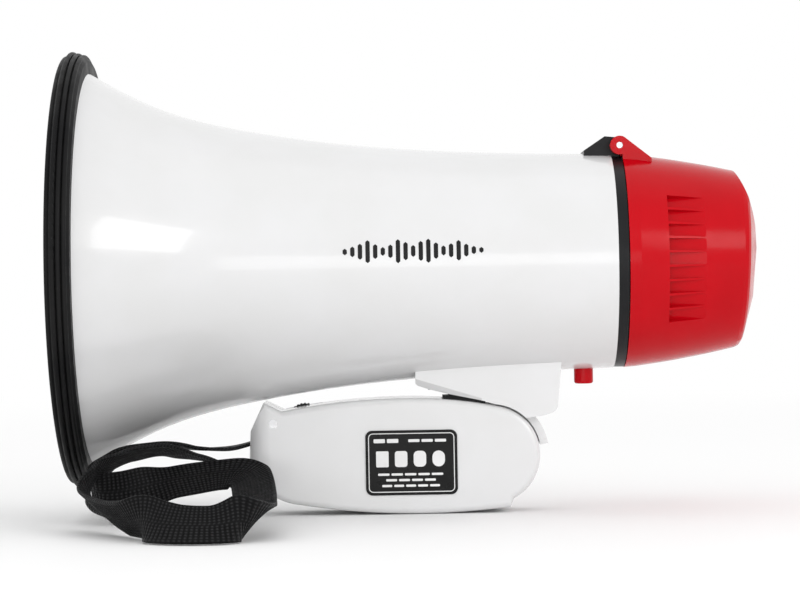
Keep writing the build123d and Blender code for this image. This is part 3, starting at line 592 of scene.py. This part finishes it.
def width_at(share, widths):
    """Direction of the width at a share of the route, smoothly between its points."""
    place_on = share * (len(widths) - 1)
    index = min(int(place_on), len(widths) - 2)
    part = place_on - index
    part = part * part * (3 - 2 * part)
    return widths[index].lerp(widths[index + 1], part)


def webbing_height(column, side, distance):
    """Height of the rib, from 0 to 1, and half thickness at one place on the webbing."""
    phase = 0.5 if column * side > 0 else 0.0
    rib = abs(math.sin(math.pi * (distance / RIB_PITCH + phase)))
    if abs(column) == 1.0:
        return rib, STRAP_THICK / 4
    if SELVEDGE_INNER < abs(column) < SELVEDGE_OUTER:
        return rib, STRAP_THICK / 2 - SELVEDGE_DROP
    return rib, STRAP_THICK / 2 - RIB_RELIEF + RIB_RELIEF * rib


def strap_ring(mesh, layers, here, along, width, distance):
    """One ring of vertices round the webbing, kept above the floor."""
    rib_height, across_mm = layers
    across = (width - along * width.dot(along)).normalized()
    normal = along.cross(across)
    reach = abs(across.z) * STRAP_HALF + abs(normal.z) * STRAP_THICK / 2 + FLOOR_CLEARANCE
    middle = Vector((here.x, here.y, max(here.z, reach * MM)))
    ring = []
    for side in (1, -1):
        for column in COLUMNS[::side]:
            rib, thick = webbing_height(column, side, distance)
            spot = middle + across * (column * STRAP_HALF * MM) + normal * (side * thick * MM)
            vertex = mesh.verts.new(spot)
            vertex[rib_height] = rib
            vertex[across_mm] = column * STRAP_HALF
            ring.append(vertex)
    return ring


def strap_rings(mesh, points, length):
    """All the rings of the webbing along its route."""
    names = ("rib_height", "across_mm")
    for name in names:
        mesh.verts.layers.float.new(name)
    layers = [mesh.verts.layers.float[name] for name in names]
    widths = [Vector(width).normalized() for point, width in STRAP_ROUTE]
    last = len(points) - 1
    rings = []
    for number, (here, share) in enumerate(points):
        before = points[max(number - DIRECTION_SPAN, 0)][0]
        after = points[min(number + DIRECTION_SPAN, last)][0]
        along = (after - before).normalized()
        distance = number * length / last / MM
        rings.append(strap_ring(mesh, layers, here, along, width_at(share, widths), distance))
    return rings


def strap_mesh(points, length):
    """Closed mesh of the webbing, with cross ribs and plain edges."""
    mesh = bmesh.new()
    rings = strap_rings(mesh, points, length)
    for a, b in zip(rings, rings[1:]):
        for index in range(len(a)):
            following = (index + 1) % len(a)
            mesh.faces.new((a[index], a[following], b[following], b[index]))
    mesh.faces.new(rings[0][::-1])
    mesh.faces.new(rings[-1])
    return finished_mesh("strap_webbing", mesh)


def make_strap(materials):
    """Flat woven strap along its route."""
    line = route_line([place(*point) for point, width in STRAP_ROUTE])
    points, length = resample(line, STRAP_STEP * MM)
    data = strap_mesh(points, length)
    for polygon in data.polygons:
        polygon.use_smooth = True
    strap = new_object("strap_webbing", data)
    data.materials.append(materials["webbing"])
    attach(strap, "grip")
    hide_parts("wrist_strap")


# ---------------------------------------------------------------- printed marks

# How far the ink stands out of a surface and reaches into it.
FLAT_INK = (0.05, -0.03)
CURVED_INK = (0.06, -0.05)

MARK_HEIGHTS = [
    2.2, 3.6, 5.4, 7.8, 5.0, 3.0, 4.6, 8.2, 6.2, 4.0, 6.8, 8.2, 5.6, 3.4, 4.8, 7.0, 4.4, 2.8, 2.0,
]
MARK_START = 98.0
MARK_MIDDLE = 4.0
MARK_PITCH = 2.6
MARK_BAR = 1.5
MARK_ROUND = 0.74
HORN_SIDE = -120

LABEL_FACE = -15.35
LABEL_FRAME = (105.3, 135.6, -80.3, -59.5)
LABEL_ROUND = 1.6
LABEL_LINE = 0.28
LABEL_BARS = [
    (107.2, 116.6, -62.9, -61.5),
    (119.4, 133.4, -62.7, -61.7),
    (108.6, 132.2, -74.4, -73.6),
    (111.4, 129.6, -76.4, -75.6),
    (110.0, 131.0, -78.4, -77.6),
]
WORD_LENGTH = 4.5
WORD_GAP = 0.7
WORD_ROUND = 0.3
SHAPE_START = 108.0
SHAPE_PITCH = 6.6
SHAPE_WIDTH = 4.4
SHAPE_LOW = -71.4
SHAPE_HIGH = -65.8


def horn_tree():
    """Search tree of the horn's surface."""
    graph = bpy.context.evaluated_depsgraph_get()
    return BVHTree.FromObject(frame["nodes"]["horn_shell"], graph)


def rounded_bar(x0, x1, z0, z1, radius, steps=5):
    """Outline of a bar with round corners, in drawing millimetres."""
    left, right = x0 + radius, x1 - radius
    low, high = z0 + radius, z1 - radius
    outline = []
    for cx, cz, start in ((right, high, 0), (left, high, 90), (left, low, 180), (right, low, 270)):
        for index in range(steps + 1):
            turn = math.radians(start + 90 * index / steps)
            outline.append((cx + radius * math.cos(turn), cz + radius * math.sin(turn)))
    return outline


def strip(x0, x1, z0, z1, radius, step=0.6, least=0.05):
    """Rows across a bar with round ends, as pairs of left and right points."""
    rows = []
    count = max(2, math.ceil((z1 - z0) / step))
    middle = (x0 + x1) / 2
    for index in range(count + 1):
        z = z0 + (z1 - z0) * index / count
        inset = max(0.0, radius - min(z - z0, z1 - z))
        half = (x1 - x0) / 2 - radius + math.sqrt(max(0.0, radius ** 2 - inset ** 2))
        half = max(half, least)
        rows.append(((middle - half, z), (middle + half, z)))
    return rows


def close(mesh, top, low):
    """Faces between two loops with the same number of vertices."""
    for index in range(len(top)):
        following = (index + 1) % len(top)
        mesh.faces.new((top[index], low[index], low[following], top[following]))


def laid(mesh, lay, outline, lift):
    """Vertices of an outline on a surface."""
    return [mesh.verts.new(lay(x, z, lift)) for x, z in outline]


def add_patch(mesh, lay, outline):
    """Flat ink inside one outline."""
    top, low = [laid(mesh, lay, outline, lift) for lift in FLAT_INK]
    mesh.faces.new(top)
    mesh.faces.new(low[::-1])
    close(mesh, top, low)


def add_ring(mesh, lay, outer, inner):
    """Flat ink between two outlines."""
    out, into = FLAT_INK
    levels = ((outer, out), (inner, out), (inner, into), (outer, into))
    loops = [laid(mesh, lay, outline, lift) for outline, lift in levels]
    for a, b in zip(loops, loops[1:] + loops[:1]):
        close(mesh, a, b)


def add_strip(mesh, lay, pairs):
    """Ink in rows that follow a curved surface."""
    layers = []
    for lift in CURVED_INK:
        layer = [laid(mesh, lay, pair, lift) for pair in pairs]
        for a, b in zip(layer, layer[1:]):
            mesh.faces.new((a[0], a[1], b[1], b[0]))
        layers.append([pair[0] for pair in layer] + [pair[1] for pair in layer[::-1]])
    close(mesh, *layers)


def printed(name, mesh, body, material):
    """Piece made of ink, which rides on the body that it is printed on."""
    data = finished_mesh(name, mesh)
    obj = new_object(name, data)
    data.materials.append(material)
    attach(obj, body)


def make_horn_mark(materials):
    """Generic sound-wave pictogram on the left side of the horn."""
    tree = horn_tree()

    def lay(x, z, lift):
        spot, normal = tree.ray_cast(place(x, HORN_SIDE, z), Vector((0, 1, 0)))[:2]
        return spot + normal * (lift * MM)

    mesh = bmesh.new()
    for index, height in enumerate(MARK_HEIGHTS):
        x = MARK_START + index * MARK_PITCH
        low, high = MARK_MIDDLE - height / 2, MARK_MIDDLE + height / 2
        add_strip(mesh, lay, strip(x, x + MARK_BAR, low, high, MARK_ROUND))
    printed("horn_mark", mesh, "horn", materials["print_black"])


def label_words():
    """Outlines of the blank bars that stand for lines of text."""
    outlines = []
    for x0, x1, z0, z1 in LABEL_BARS:
        words = max(1, round((x1 - x0) / WORD_LENGTH))
        step = (x1 - x0) / words
        for word in range(words):
            start, end = x0 + word * step, x0 + (word + 1) * step - WORD_GAP
            outlines.append(rounded_bar(start, end, z0, z1, WORD_ROUND))
    return outlines


def label_shapes():
    """Outlines of four plain shapes, from nearly square to nearly oval."""
    outlines = []
    for index in range(4):
        x = SHAPE_START + index * SHAPE_PITCH
        corner = 0.4 + index * 0.59
        outlines.append(rounded_bar(x, x + SHAPE_WIDTH, SHAPE_LOW, SHAPE_HIGH, corner))
    return outlines


def make_label_print(materials):
    """Frame line, blank text bars and plain shapes on the label of the grip."""

    def lay(x, z, lift):
        return place(x, LABEL_FACE - lift, z)

    mesh = bmesh.new()
    for outline in label_words() + label_shapes():
        add_patch(mesh, lay, outline)
    x0, x1, z0, z1 = LABEL_FRAME
    line = LABEL_LINE
    outer = rounded_bar(x0, x1, z0, z1, LABEL_ROUND)
    inner = rounded_bar(x0 + line, x1 - line, z0 + line, z1 - line, LABEL_ROUND - line)
    add_ring(mesh, lay, outer, inner)
    printed("label_print", mesh, "grip", materials["print_white"])


# ---------------------------------------------------------------- springs

# CAD node, body, joint, travel, place along the part, fixed end and moving end of each spring.
SPRINGS = [
    ("latch_spring", "horn", "latch_press", 2.5, 182.4, -25.0, -31.0),
    ("trigger_spring", "grip", "trigger_pull", 3.0, 142.0, -62.0, -49.0),
]


def make_spring(node, body, joint, travel, x, fixed_end, moving_end):
    """Coil spring that stands for its CAD node: a copy of its mesh that rides on the body."""
    source = frame["nodes"][node]
    spring = new_object(node + "_coil", source.data.copy())
    spring.matrix_world = source.matrix_world.copy()
    spring.modifiers.new("smooth", "NODES").node_group = source.modifiers["smooth"].node_group
    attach(spring, body)
    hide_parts(node)
    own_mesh(spring)


# ---------------------------------------------------------------- build

make_camera()
make_studio()
materials = make_materials()
finish_cad_nodes(materials)
make_strap(materials)
make_horn_mark(materials)
make_label_print(materials)
for spring in SPRINGS:
    make_spring(*spring)

bpy.context.scene.view_settings.view_transform = "Standard"
